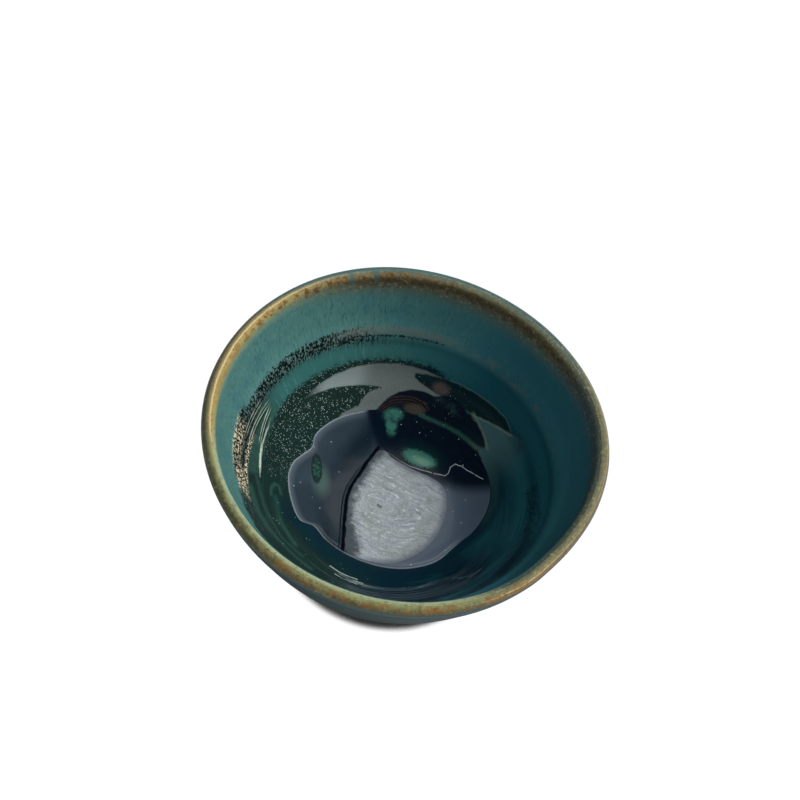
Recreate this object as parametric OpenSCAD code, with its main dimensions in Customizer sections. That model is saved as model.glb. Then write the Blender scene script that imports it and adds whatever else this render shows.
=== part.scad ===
// A hand-thrown stoneware tea bowl: one clay body and the glazes that are fired on to it.
// Millimetres. The bowl stands on z = 0 and is turned about the Z axis.

/* [Bowl] */
// Diameter across the glazed lip
rim_d = 110; // [98:1:122]
// Height from the table to the top of the glazed lip
height = 54; // [48:1:62]
// Lean of the wall at the lip, outward from the vertical, in degrees
lip_lean = 17; // [10:1:24]
// Length of wall that keeps close to the lip's lean
wall_reach = 22; // [16:1:26]
// Rise of the wall where it leaves the foot, above the level, in degrees
base_angle = 30; // [22:1:38]
// Length of wall that keeps close to the rise at the foot
base_reach = 13; // [9:1:16]

/* [Clay] */
// Thickness of the clay at the lip
lip_t = 2.8; // [2.2:0.1:3.6]
// Thickness of the clay where the wall meets the foot
base_t = 6.5; // [5.5:0.1:8]
// Thickness of the clay floor at its centre
floor_t = 6; // [5:0.1:7]
// Length of floor that stays close to level round the centre
floor_reach = 10; // [6:1:14]
// Length of floor that already climbs like the wall
floor_climb = 4; // [2:0.5:6]

/* [Throwing rings] */
// Depth of the highest ring below the lip
ring_depth = 15.6; // [12:0.2:20]
// Distance from one ring to the next, down the wall
ring_pitch = 8.7; // [5:0.1:11]
// How far a ring stands out of the wall
ring_h = 0.4; // [0.1:0.05:0.8]

/* [Foot ring] */
// Diameter of the foot ring where the wall springs from it
foot_d = 55; // [48:1:60]
// Height of the foot ring
foot_h = 7; // [5.5:0.5:9]
// Width of the foot ring at the table
foot_w = 6; // [4:0.5:8]
// Draft of both faces of the foot ring, in degrees
foot_draft = 8; // [2:1:14]
// Depth of the hollow that is trimmed inside the foot ring
foot_recess = 5; // [3.5:0.5:6.5]
// Bevel that is sponged on the edges of the foot ring
foot_bevel = 0.8; // [0.3:0.1:1.5]
// Reach of the rounded corners above the foot ring
foot_round = 1.6; // [0.6:0.1:2.4]

/* [Glazes] */
// Thickness of the fired coat
glaze_t = 0.6; // [0.4:0.05:0.9]
// Length of wall left bare above the foot ring
bare_w = 4; // [3:0.5:8]
// Thickness of the roll along the lower edge of the outer coat
roll_t = 1.1; // [1:0.05:1.5]
// Length of wall that the roll covers
roll_w = 2.6; // [1.8:0.1:4]
// Reach of the brown lip band down the outside
band_out = 1.4; // [0.8:0.1:3]
// Reach of the brown lip band down the inside
band_in = 2.8; // [1.5:0.1:5]

/* [Pool in the well] */
// Depth of the glaze that ran together in the well
pool_t = 0.8; // [0.5:0.05:1.2]
// Radius of the round front of the pool
pool_r = 23; // [18:0.5:25]
// Shift of that round front toward the far wall
pool_shift = 3; // [0:0.5:5]
// Reach of the lobes of the pool from the axis
lobe_reach = 30; // [26:0.2:31]
// Radius of each lobe
lobe_r = 14.6; // [11:0.2:17]

/* [Pale bloom] */
// Depth of the pale crystal bloom, set flush in the pool
bloom_t = 0.3; // [0.15:0.05:0.4]
// Radius of the round side of the bloom
bloom_r = 17.8; // [13:0.1:18]
// Shift of that round side away from +X
bloom_shift = 2.2; // [0:0.1:2.5]
// Distance from the axis to the flat side of the bloom
bloom_flat = 11.1; // [8:0.1:12]
// Radius of the flat side of the bloom
bloom_flat_r = 34.6; // [24:0.2:45]
// Distance from the axis to the hollow side of the bloom
bloom_hollow = 14; // [10:0.1:15]
// Radius of the hollow side of the bloom
bloom_hollow_r = 27; // [20:1:40]

/* [Hidden] */
$fn = 128;

// Directions of the lobes, which overlap round the far side, and of the bloom's two cut sides, in degrees from +X
lobe_angles = [30, 50, 70, 90, 110, 130, 180];
bloom_flat_angle = 186;
bloom_hollow_angle = 78;

// Steps along each stretch of the profile
floor_steps = 14;
wall_steps = 42;
band_steps = 3;
lip_steps = 18;
coat_steps = 22;
roll_steps = 8;
bare_steps = 3;
corner_steps = 5;
nudge = 0.001;

// Share of the wall over which the rings fade out above the floor
ring_fade = 0.15;
// Power by which the wall thins from the foot to the lip
thinning = 1.5;

// Curves of the profile, in the plane of radius and height
function bezier(p, u) =
    pow(1 - u, 3) * p[0]
    + 3 * pow(1 - u, 2) * u * p[1]
    + 3 * (1 - u) * pow(u, 2) * p[2]
    + pow(u, 3) * p[3];
function corner(a, b, c, u) = pow(1 - u, 2) * a + 2 * u * (1 - u) * b + pow(u, 2) * c;
function toward(angle) = [cos(angle), sin(angle)];
function unit(v) = v / norm(v);
function left_of(v) = [-v[1], v[0]] / norm(v);
function steps(a, b, n) = [for (i = [0:n]) a + (b - a) * i / n];
function next_steps(a, b, n) = [for (i = [1:n]) a + (b - a) * i / n];
function slice(path, i, j) = [for (k = [i:j]) path[k]];
function backward(path) = [for (k = [len(path) - 1:-1:0]) path[k]];

// Lip: a half round between the two faces of the wall
lip_out = toward(-lip_lean);
lip_up = toward(90 - lip_lean);
lip_centre = [rim_d / 2 - lip_t / 2 - glaze_t, height - lip_t / 2 - glaze_t];
lip_edge = lip_centre + lip_t / 2 * lip_out;

// Outer face of the clay, from the foot up to the lip
wall_start = [foot_d / 2, foot_h];
outer_curve = [
    wall_start,
    wall_start + base_reach * toward(base_angle),
    lip_edge - wall_reach * lip_up,
    lip_edge
];
function outer(u) = bezier(outer_curve, u);
function inward(u) = left_of(outer(u + nudge) - outer(u - nudge));

// Inner face of the clay, with the rings that the fingers left
function wall_t(u) = lip_t + (base_t - lip_t) * pow(max(0, 1 - u), thinning);
function plain_inner(u) = outer(u) + wall_t(u) * inward(u);
function ring(depth) =
    depth < ring_depth - ring_pitch / 2
        ? 0
        : ring_h * (1 + cos(360 * (depth - ring_depth) / ring_pitch)) / 2;
function ring_at(u) = ring(lip_centre[1] - plain_inner(u)[1]) * min(1, u / ring_fade);
function inner(u) = plain_inner(u) + ring_at(u) * inward(u);

// Floor of the clay, level at the axis and in line with the wall at its end
floor_z = foot_recess + floor_t;
floor_curve = [
    [0, floor_z],
    [floor_reach, floor_z],
    inner(0) - floor_climb * unit(inner(nudge) - inner(0)),
    inner(0)
];

// Places along the wall, as shares of its curve
u_band_in = 1 - band_in / (3 * wall_reach);
u_band_out = 1 - band_out / (3 * wall_reach);
u_bare = bare_w / (3 * base_reach);
u_roll = (bare_w + roll_w) / (3 * base_reach);
u_round = foot_round / (3 * base_reach);

// Glazed face of the clay: floor, inner wall, lip, outer wall down to the bare clay
skin = concat(
    [for (u = steps(0, 1, floor_steps)) bezier(floor_curve, u)],
    [for (u = next_steps(0, u_band_in, wall_steps)) inner(u)],
    [for (u = next_steps(u_band_in, 1, band_steps)) inner(u)],
    [for (a = next_steps(180 - lip_lean, -lip_lean, lip_steps)) lip_centre + lip_t / 2 * toward(a)],
    [for (u = next_steps(1, u_band_out, band_steps)) outer(u)],
    [for (u = next_steps(u_band_out, u_roll, coat_steps)) outer(u)],
    [for (u = next_steps(u_roll, u_bare, roll_steps)) outer(u)]
);
i_wall = floor_steps;
i_band_in = i_wall + wall_steps;
i_band_out = i_band_in + lip_steps + 2 * band_steps;
i_roll = i_band_out + coat_steps;
i_bare = i_roll + roll_steps;

// Thickness of the coat, which swells to a round-edged roll above the bare clay
roll_crest = 0.5;
roll_end = 0.55;
function roll(x) =
    x < roll_crest
        ? glaze_t + (roll_t - glaze_t) * (1 - cos(180 * x / roll_crest)) / 2
        : roll_t * sqrt(1 - pow((x - roll_crest) / roll_end, 2));
function coat_t(i) = i <= i_roll ? glaze_t : roll((i - i_roll) / roll_steps);
function lifted_point(path, i, t) =
    path[i] + t * left_of(path[min(i + 1, len(path) - 1)] - path[max(i - 1, 0)]);
function from_axis(p) = [max(0, p[0]), p[1]];
coat = [for (i = [0:i_bare]) from_axis(lifted_point(skin, i, coat_t(i)))];

// Unglazed face of the clay: bare wall, rounded corner, foot ring and trimmed hollow
draft_slope = tan(foot_draft);
foot_out = foot_d / 2 - foot_h * draft_slope;
foot_in = foot_out - foot_w;
hollow_r = foot_in - foot_recess * draft_slope;
foot_face = [wall_start[0] - foot_round * draft_slope, foot_h - foot_round];
hollow_face = [hollow_r + foot_round * draft_slope, foot_recess - foot_round];
bare = concat(
    [for (u = next_steps(u_bare, u_round, bare_steps)) outer(u)],
    [for (u = next_steps(0, 1, corner_steps)) corner(outer(u_round), wall_start, foot_face, u)],
    [
        [foot_out + foot_bevel * draft_slope, foot_bevel],
        [foot_out - foot_bevel, 0],
        [foot_in + foot_bevel, 0],
        [foot_in - foot_bevel * draft_slope, foot_bevel]
    ],
    [
        for (u = steps(0, 1, corner_steps))
            corner(hollow_face, [hollow_r, foot_recess], [hollow_r - foot_round, foot_recess], u)
    ],
    [[0, foot_recess]]
);

// Pool: it lies on the coat of the floor and of the lowest part of the wall
well_steps = 12;
well_bed = slice(coat, 0, i_wall + well_steps);
function above_bed(t) = [for (i = [0:len(well_bed) - 1]) from_axis(lifted_point(well_bed, i, t))];
well_top = above_bed(pool_t);
bloom_bed = above_bed(pool_t - bloom_t);
clear_of_pool = above_bed(2 * pool_t);
lobe_away = lobe_reach - lobe_r;

module turned(low, high) {
    rotate_extrude()
        polygon(concat(low, backward(high)));
}

module pool_outline() {
    translate([0, pool_shift])
        circle(pool_r);
    for (angle = lobe_angles)
        translate(lobe_away * toward(angle))
            circle(lobe_r);
}

module bloom_outline() {
    difference() {
        intersection() {
            translate([-bloom_shift, 0])
                circle(bloom_r);
            translate((bloom_flat - bloom_flat_r) * toward(bloom_flat_angle))
                circle(bloom_flat_r);
        }
        translate((bloom_hollow + bloom_hollow_r) * toward(bloom_hollow_angle))
            circle(bloom_hollow_r);
    }
}

// Keeps what lies over an outline drawn on the floor
module over_outline() {
    intersection() {
        children(0);
        linear_extrude(height)
            children(1);
    }
}

module stoneware_body() {
    color([0.45, 0.37, 0.29])
        rotate_extrude()
            polygon(concat(skin, bare));
}

module outer_glaze() {
    color([0.16, 0.36, 0.37])
        turned(slice(skin, i_band_out, i_bare), slice(coat, i_band_out, i_bare));
}

module lip_glaze() {
    color([0.49, 0.37, 0.19])
        turned(slice(skin, i_band_in, i_band_out), slice(coat, i_band_in, i_band_out));
}

module inner_glaze() {
    color([0.14, 0.38, 0.39])
        turned(slice(skin, 0, i_band_in), slice(coat, 0, i_band_in));
}

module well_glaze() {
    color([0.10, 0.15, 0.20])
        difference() {
            over_outline() {
                turned(well_bed, well_top);
                pool_outline();
            }
            over_outline() {
                turned(bloom_bed, clear_of_pool);
                bloom_outline();
            }
        }
}

module crystal_bloom() {
    color([0.60, 0.66, 0.68])
        over_outline() {
            turned(bloom_bed, well_top);
            bloom_outline();
        }
}

stoneware_body();
outer_glaze();
lip_glaze();
inner_glaze();
well_glaze();
crystal_bloom();
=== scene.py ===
"""A hand-thrown stoneware tea bowl: teal glaze that breaks brown at the lip, and a dark pool in the well."""

import math
from functools import partialmethod

import bmesh
import bpy
import numpy as np
from mathutils import Matrix, Vector


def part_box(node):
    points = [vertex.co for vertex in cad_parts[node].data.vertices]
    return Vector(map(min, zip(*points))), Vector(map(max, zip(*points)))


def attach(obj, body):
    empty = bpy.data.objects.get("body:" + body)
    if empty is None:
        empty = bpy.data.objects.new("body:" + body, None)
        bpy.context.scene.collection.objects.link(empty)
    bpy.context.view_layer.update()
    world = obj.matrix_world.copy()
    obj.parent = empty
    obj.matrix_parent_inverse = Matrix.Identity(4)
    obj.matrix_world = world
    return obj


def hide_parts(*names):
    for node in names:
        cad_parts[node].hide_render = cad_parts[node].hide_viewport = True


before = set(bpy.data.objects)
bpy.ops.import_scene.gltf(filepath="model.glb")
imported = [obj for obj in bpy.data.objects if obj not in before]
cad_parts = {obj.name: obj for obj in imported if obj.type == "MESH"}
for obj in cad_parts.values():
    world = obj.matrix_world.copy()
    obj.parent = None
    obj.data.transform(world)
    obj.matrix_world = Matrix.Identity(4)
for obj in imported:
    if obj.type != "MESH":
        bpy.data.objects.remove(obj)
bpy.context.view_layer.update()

MM = 0.001
FULL_TURN = 2 * math.pi

# Sizes of the bowl in millimetres, from the frame's boxes and the roundness of the lip
BOWL_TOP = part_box("lip_glaze")[1].z / MM
LIP_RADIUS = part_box("lip_glaze")[1].x / MM
LIP_ROUND = 2.0
LIP_HEIGHT = BOWL_TOP - LIP_ROUND

# Throwing rings on the inner wall by depth below the lip, and the depths between which their relief fades
RING_DEPTH = 15.6
RING_PITCH = 8.7
RING_RELIEF = 0.4
RING_FADE = (36.0, 33.0)

# How far the upper and the lower rings stray down the wall, by direction in degrees from +X, and the
# stretch of wall at each ring that strays with it
UPPER_STRAY = (
    (-180, 1.2), (-155, 1.0), (-110, 0.3), (0, 0.0), (45, 0.2), (90, 0.7), (135, 0.6), (165, 0.8),
    (180, 1.2),
)
LOWER_STRAY = (
    (-180, 2.8), (-160, 1.7), (-145, 1.6), (-100, 1.2), (-37, 0.6), (-4, -0.7), (15, -1.6),
    (45, -0.5), (100, -0.7), (135, -0.4), (155, 0.4), (168, 2.2), (180, 2.8),
)
MOST_STRAY = 5.0
RING_HOLD = 2.0

# How far the rim strays outward from its circle, by direction, and how far down the wall it does so
RIM_STRAY = (
    (-180, -0.2), (-160, 0.0), (-140, 0.4), (-115, 0.95), (-85, 1.15), (-62, 1.0), (-45, 0.5),
    (-28, -0.3), (-10, 0.1), (8, 0.5), (28, 0.2), (50, -0.55), (70, -0.95), (90, -0.75),
    (115, -0.4), (155, -0.45), (180, -0.2),
)
RIM_FADE = 18.0

# Fine finger ridges between the lowest ring and the floor: the depths that they lie between, the noise that
# they come and go with, and the sines of the directions between which they fade out
RIDGE_PITCH = 1.45
RIDGE_RELIEF = 0.07
RIDGE_FROM = 23.0
RIDGE_TO = 37.0
RIDGE_SOFT = 3.0
RIDGE_NOISE = (0.3, 0.75)
RIDGE_SIDE = (0.4, 0.1)

# How far the hand-made wall strays from a true circle, the heights and radii over which it starts to, and
# how fast it changes: per metre of height, and in all
WALL_WANDER = 0.22
WANDER_HEIGHT = (12.0, 30.0)
WANDER_RADIUS = (5.0, 30.0)
WANDER_RISE = 12.0
WANDER_SCALE = 0.9

# Pool of glaze in the well: depth, share by which it varies, cells of that noise per metre, width of its
# round edge, and reach by direction
POOL_DEPTH = 0.45
POOL_RIPPLE = 0.25
RIPPLE_SCALE = 160.0
POOL_EDGE = 1.8
POOL_REACH = (
    (-180, 29.6), (-165, 28.0), (-152, 26.3), (-147, 22.8), (-134, 21.8), (-108, 20.3), (-90, 20.1),
    (-61, 21.1), (-38, 22.3), (-27, 22.4), (-17, 23.2), (-8, 25.0), (1, 26.7), (9, 28.1),
    (20, 29.4), (36, 30.2), (75, 30.1), (114, 30.0), (139, 29.9), (149, 29.3), (155, 27.8),
    (163, 28.5), (171, 29.5), (180, 29.6),
)
MOST_POOL = 34.0

# Pale bloom in the pool, in the same way
BLOOM_RISE = 0.06
BLOOM_EDGE = 0.5
BLOOM_REACH = (
    (-180, 11.7), (-163, 11.8), (-146, 13.1), (-133, 15.3), (-122, 18.1), (-116, 19.5),
    (-100, 19.4), (-77, 18.8), (-47, 17.2), (-15, 16.3), (15, 17.0), (33, 17.7), (52, 16.2),
    (68, 14.8), (84, 15.0), (97, 16.3), (107, 18.6), (116, 17.0), (129, 14.2), (146, 12.3),
    (162, 11.8), (180, 11.7),
)
MOST_BLOOM = 22.0

# How far the pool and the bloom reach into the bed below them, as a share of their depth
LENS_SINK = 0.2

# Mesh fineness: steps in a turn, millimetres along an outline, rings of points across a pool, and the power
# by which these crowd towards its edge
TURN_STEPS = 384
FINE_STEP = 0.34
COAT_STEP = 0.6
LIP_STEP = 0.22
HIDDEN_STEP = 3.0
POOL_RINGS = 60
RING_CROWDING = 1.5

# Turns sharper than these, in degrees, are a corner of an outline and a sharp edge of a mesh
CORNER_TURN = 32
SHARP_TURN = 38
# A run of an outline with no more points than this counts as straight
STRAIGHT_POINTS = 4

# Lengths that count as none, in metres: between points of a mesh, from the axis, from the clay and at a weld
SAME_POINT = 1e-7
ON_AXIS = 1e-6
ON_CLAY = 2e-5
WELD = 2e-6


# Values in node trees

class Wire:
    """One value in a node tree. Arithmetic on wires adds the nodes that work it out."""

    def __init__(self, tree, socket):
        self.tree = tree
        self.socket = socket

    def math(self, operation, *others):
        inputs = dict(enumerate((self, *others)))
        return worked_out(self.tree, "ShaderNodeMath", inputs, operation=operation)

    __add__ = partialmethod(math, "ADD")
    __radd__ = __add__
    __sub__ = partialmethod(math, "SUBTRACT")
    __mul__ = partialmethod(math, "MULTIPLY")
    __rmul__ = __mul__
    __truediv__ = partialmethod(math, "DIVIDE")
    __pow__ = partialmethod(math, "POWER")
    absolute = partialmethod(math, "ABSOLUTE")
    over = partialmethod(math, "GREATER_THAN")
    most = partialmethod(math, "MAXIMUM")
    least = partialmethod(math, "MINIMUM")

    def __neg__(self):
        return self * -1.0

    def __rsub__(self, other):
        return -self + other

    def root(self):
        return self.most(0.0).math("SQRT")

    def smooth(self, start, end):
        """0 at start, 1 at end and an even S between them."""
        inputs = {"Value": self, "From Min": start, "From Max": end}
        return worked_out(self.tree, "ShaderNodeMapRange", inputs, interpolation_type="SMOOTHSTEP")

    def between(self, low, high, soft):
        """1 from low to high, fading to 0 over a soft edge."""
        return self.smooth(low - soft, low + soft) * self.smooth(high + soft, high - soft)


def feed(socket, value):
    """Links a wire to a socket, or sets the socket's own value."""
    if isinstance(value, Wire):
        value.tree.links.new(value.socket, socket)
    else:
        socket.default_value = value


def feed_all(node, inputs):
    """Feeds a node's inputs, which are named or numbered."""
    for name, value in inputs.items():
        feed(node.inputs[name], value)


def add_node(tree, kind, inputs, **settings):
    """Adds a node to a tree, sets it up and feeds its inputs."""
    node = tree.nodes.new(kind)
    for name, value in settings.items():
        setattr(node, name, value)
    feed_all(node, inputs)
    return node


def worked_out(tree, kind, inputs, output=0, **settings):
    """The value that a new node works out from its inputs."""
    return Wire(tree, add_node(tree, kind, inputs, **settings).outputs[output])


def curve(value, points):
    """A smooth curve through points that lie between 0 and 1."""
    node = add_node(value.tree, "ShaderNodeFloatCurve", {"Value": value})
    line = node.mapping.curves[0]
    line.points[0].location = points[0]
    line.points[-1].location = points[-1]
    for point in points[1:-1]:
        line.points.new(*point)
    node.mapping.update()
    return Wire(value.tree, node.outputs[0])


def by_direction(turn, table, most):
    """A value that changes with direction, up to most; turn is 0 to 1 from -X round to -X again."""
    points = [(degrees / 360 + 0.5, value / (2 * most) + 0.5) for degrees, value in table]
    return curve(turn, points) * (2 * most) - most


def ring_stray(turn, depth):
    """How far the throwing rings stray down the wall."""
    upper = by_direction(turn, UPPER_STRAY, MOST_STRAY)
    lower = by_direction(turn, LOWER_STRAY, MOST_STRAY)
    return upper + (lower - upper) * depth.smooth(RING_DEPTH + RING_HOLD, RING_DEPTH + RING_PITCH - RING_HOLD)


def rim_stray(turn, depth):
    """How far the rim strays outward from its circle."""
    return by_direction(turn, RIM_STRAY, MOST_STRAY) * depth.smooth(RIM_FADE, 1.0)


def vector_of(x, y, z):
    tree = next(v.tree for v in (x, y, z) if isinstance(v, Wire))
    return worked_out(tree, "ShaderNodeCombineXYZ", {"X": x, "Y": y, "Z": z})


def parts_of(vector):
    node = add_node(vector.tree, "ShaderNodeSeparateXYZ", {0: vector})
    return [Wire(vector.tree, socket) for socket in node.outputs]


def vector_math(operation, a, b):
    second = "Scale" if operation == "SCALE" else 1
    output = "Value" if operation in ("DOT_PRODUCT", "DISTANCE") else "Vector"
    return worked_out(a.tree, "ShaderNodeVectorMath", {0: a, second: b}, output, operation=operation)


def noise(vector, scale, detail=2.0, rough=0.5, distortion=0.0):
    """Cloudy noise about 0.5."""
    return worked_out(vector.tree, "ShaderNodeTexNoise", {
        "Vector": vector, "Scale": scale, "Detail": detail, "Roughness": rough, "Distortion": distortion,
    })


# Turned pieces

def cut_outline(node):
    """Outline of a turned CAD node in the half plane y = 0, as ordered (radius, height) points in metres."""
    bm = bmesh.new()
    bm.from_mesh(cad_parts[node].data)
    bmesh.ops.remove_doubles(bm, verts=bm.verts, dist=SAME_POINT)
    everything = [*bm.verts, *bm.edges, *bm.faces]
    cut = bmesh.ops.bisect_plane(bm, geom=everything, dist=SAME_POINT, plane_co=(0, 0, 0), plane_no=(0, 1, 0))
    beside = {}
    for edge in cut["geom_cut"]:
        if isinstance(edge, bmesh.types.BMEdge) and min(v.co.x for v in edge.verts) > -ON_AXIS:
            a, b = edge.verts
            beside.setdefault(a, []).append(b)
            beside.setdefault(b, []).append(a)
    ends = [v for v, near in beside.items() if len(near) == 1]
    start = max(ends, key=lambda v: v.co.z) if ends else max(beside, key=lambda v: v.co.x)
    line, last = [start], None
    while True:
        onward = [v for v in beside[line[-1]] if v is not last]
        if not onward or (len(line) > 2 and line[-1] is start):
            break
        last = line[-1]
        line.append(onward[0])
    points = np.array([(max(v.co.x, 0.0), v.co.z) for v in line])
    bm.free()
    # The cut can stop short of the axis, so an open outline is led on to it
    if ends and points[-1, 0] > 0:
        points = np.vstack([points, (0.0, points[-1, 1])])
    return points


def split_at_corners(points):
    """The outline's smooth runs, cut where it turns sharply."""
    step = np.diff(points, axis=0)
    heading = np.unwrap(np.arctan2(step[:, 1], step[:, 0]))
    corners = [i + 1 for i in np.flatnonzero(np.abs(np.diff(heading)) > math.radians(CORNER_TURN))]
    bounds = [0, *corners, len(points) - 1]
    return [points[a:b + 1] for a, b in zip(bounds, bounds[1:])]


def resample(run, spacing):
    """A smooth run with evenly spaced points, on a cubic curve through the given ones."""
    length = np.concatenate([[0], np.cumsum(np.hypot(*np.diff(run, axis=0).T))])
    count = max(1, int(round(length[-1] / spacing)))
    wanted = np.linspace(0, length[-1], count + 1)
    if len(run) < 3:
        return np.stack([np.interp(wanted, length, run[:, k]) for k in (0, 1)], axis=1)
    slope = np.gradient(run, length, axis=0)
    i = np.clip(np.searchsorted(length, wanted, side="right") - 1, 0, len(run) - 2)
    gap = (length[i + 1] - length[i])[:, None]
    t = ((wanted - length[i])[:, None]) / gap
    return (
        (2 * t**3 - 3 * t**2 + 1) * run[i]
        + (t**3 - 2 * t**2 + t) * gap * slope[i]
        + (3 * t**2 - 2 * t**3) * run[i + 1]
        + (t**3 - t**2) * gap * slope[i + 1]
    )


clay_outline = cut_outline("stoneware_body")


def lies_on_clay(run):
    middle = run[len(run) // 2]
    return np.hypot(*(clay_outline - middle).T).min() < ON_CLAY


def profile_of(node, spacing):
    """A turned node's whole outline, fine where it shows: points, outward directions and relief weights."""
    outline = clay_outline if node == "stoneware_body" else cut_outline(node)
    points, weights = [], []
    for run in split_at_corners(outline):
        hidden = node != "stoneware_body" and lies_on_clay(run)
        fine = resample(run, HIDDEN_STEP * MM if hidden else spacing * MM)
        # Relief goes on the curved runs that show
        shown = len(run) > STRAIGHT_POINTS and not hidden
        points.append(fine[:-1])
        weights.append(np.full(len(fine) - 1, 1.0 if shown else 0.0))
    points.append(outline[-1:])
    weights.append(weights[0][:1] if np.allclose(outline[0], outline[-1]) else weights[-1][-1:])
    points, weights = np.concatenate(points), np.concatenate(weights)
    # Counter-clockwise, so that the turned faces point outward
    area = np.sum(points[:-1, 0] * points[1:, 1] - points[1:, 0] * points[:-1, 1])
    if area < 0:
        points, weights = points[::-1], weights[::-1]
    ahead = np.gradient(points, axis=0)
    outward = np.stack([ahead[:, 1], -ahead[:, 0]], axis=1)
    outward = outward / np.maximum(np.hypot(*outward.T), SAME_POINT ** 2)[:, None]
    return points, outward, weights


def new_geometry_tree(name, inputs):
    """A Geometry Nodes tree with named inputs of each kind, its wires from them and its output node."""
    tree = bpy.data.node_groups.new(name, "GeometryNodeTree")
    tree.interface.new_socket("Geometry", in_out="OUTPUT", socket_type="NodeSocketGeometry")
    for kind, labels in {"Geometry": ["Geometry"], **inputs, "Material": ["Material"]}.items():
        for label in labels:
            tree.interface.new_socket(label, in_out="INPUT", socket_type="NodeSocket" + kind)
    source = tree.nodes.new("NodeGroupInput")
    wires = {s.name: Wire(tree, s) for s in source.outputs if s.name}
    return tree, wires, tree.nodes.new("NodeGroupOutput")


def grid_steps(tree, turns, columns):
    """A grid, with each point's share of a turn and its place along the profile."""
    grid = worked_out(tree, "GeometryNodeMeshGrid", {"Vertices X": turns + 1, "Vertices Y": columns})
    index = worked_out(tree, "GeometryNodeInputIndex", {})
    row = (index / columns).math("FLOOR")
    return grid, row / turns, index - row * columns


def direction_of(turn):
    """A share of a turn from +X, as the tables by direction count it: from -X round to -X."""
    return (turn + 0.5).math("FRACT")


def close_up(tree, output, mesh, place, material):
    """Puts the grid's points in place, welds seams and poles, and gives the piece its material."""
    shape = worked_out(tree, "GeometryNodeSetPosition", {"Geometry": mesh, "Position": place})
    shape = worked_out(tree, "GeometryNodeMergeByDistance", {"Geometry": shape, "Distance": WELD})
    shape = worked_out(tree, "GeometryNodeSetShadeSmooth", {0: shape})
    shape = worked_out(tree, "GeometryNodeRealizeInstances", {0: shape})
    shape = worked_out(tree, "GeometryNodeSetMaterial", {0: shape, "Material": material})
    feed(output.inputs[0], shape)


def thrown_tree():
    """Turns a profile about Z as a wheel does, with wandering rings, finger ridges and a wall that strays."""
    tree, given, output = new_geometry_tree("thrown_clay", {
        "Int": ["Turn Steps", "Profile Points"],
        "Float": [
            "Wall Wander", "Ring Relief", "Ring Depth", "Ring Pitch", "Ridge Relief", "Ridge Pitch",
            "Lip Height",
        ],
    })
    mesh, turn, along = grid_steps(tree, given["Turn Steps"], given["Profile Points"])

    def from_profile(kind, value):
        inputs = {"Geometry": given["Geometry"], "Value": value, "Index": along}
        return worked_out(tree, "GeometryNodeSampleIndex", inputs, data_type=kind)

    def stored(name, kind):
        value = worked_out(tree, "GeometryNodeInputNamedAttribute", {"Name": name}, data_type=kind)
        return from_profile(kind, value)

    here = worked_out(tree, "GeometryNodeInputPosition", {})
    radius, _, height = parts_of(from_profile("FLOAT_VECTOR", here))
    out_radius, _, out_height = parts_of(stored("outward", "FLOAT_VECTOR"))
    weight = stored("relief", "FLOAT")
    angle = turn * FULL_TURN
    cosine, sine = angle.math("COSINE"), angle.math("SINE")
    depth = given["Lip Height"] - height / MM

    def ring(at):
        wave = ((at - given["Ring Depth"]) / given["Ring Pitch"] * FULL_TURN).math("COSINE")
        return (wave * 0.5 + 0.5) * at.over(given["Ring Depth"] - given["Ring Pitch"] * 0.5)

    facing = direction_of(turn)
    stray = ring_stray(facing, depth)
    rings = given["Ring Relief"] * (ring(depth - stray) - ring(depth)) * depth.smooth(*RING_FADE)
    ridge = ((depth / given["Ridge Pitch"] - turn) * FULL_TURN).math("SINE")
    strength = noise(vector_of(cosine * 1.5, sine * 1.5, depth * 0.16), 1.6, 1.0)
    reach = depth.between(RIDGE_FROM, RIDGE_TO, RIDGE_SOFT)
    reach = reach * strength.smooth(*RIDGE_NOISE) * sine.smooth(*RIDGE_SIDE)
    lift = (rings + ridge * given["Ridge Relief"] * reach) * weight * MM
    sway = noise(vector_of(cosine, sine, height * WANDER_RISE), WANDER_SCALE, 1.0) - 0.5
    free = (height / MM).smooth(*WANDER_HEIGHT) * (radius / MM).smooth(*WANDER_RADIUS)
    sway = (sway * given["Wall Wander"] * 2.0 * free + rim_stray(facing, depth)) * MM
    final_radius = (radius + out_radius * lift + sway).most(0.0) * radius.over(SAME_POINT)
    place = vector_of(final_radius * cosine, final_radius * sine, height + out_height * lift)
    close_up(tree, output, mesh, place, given["Material"])
    return tree


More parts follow.
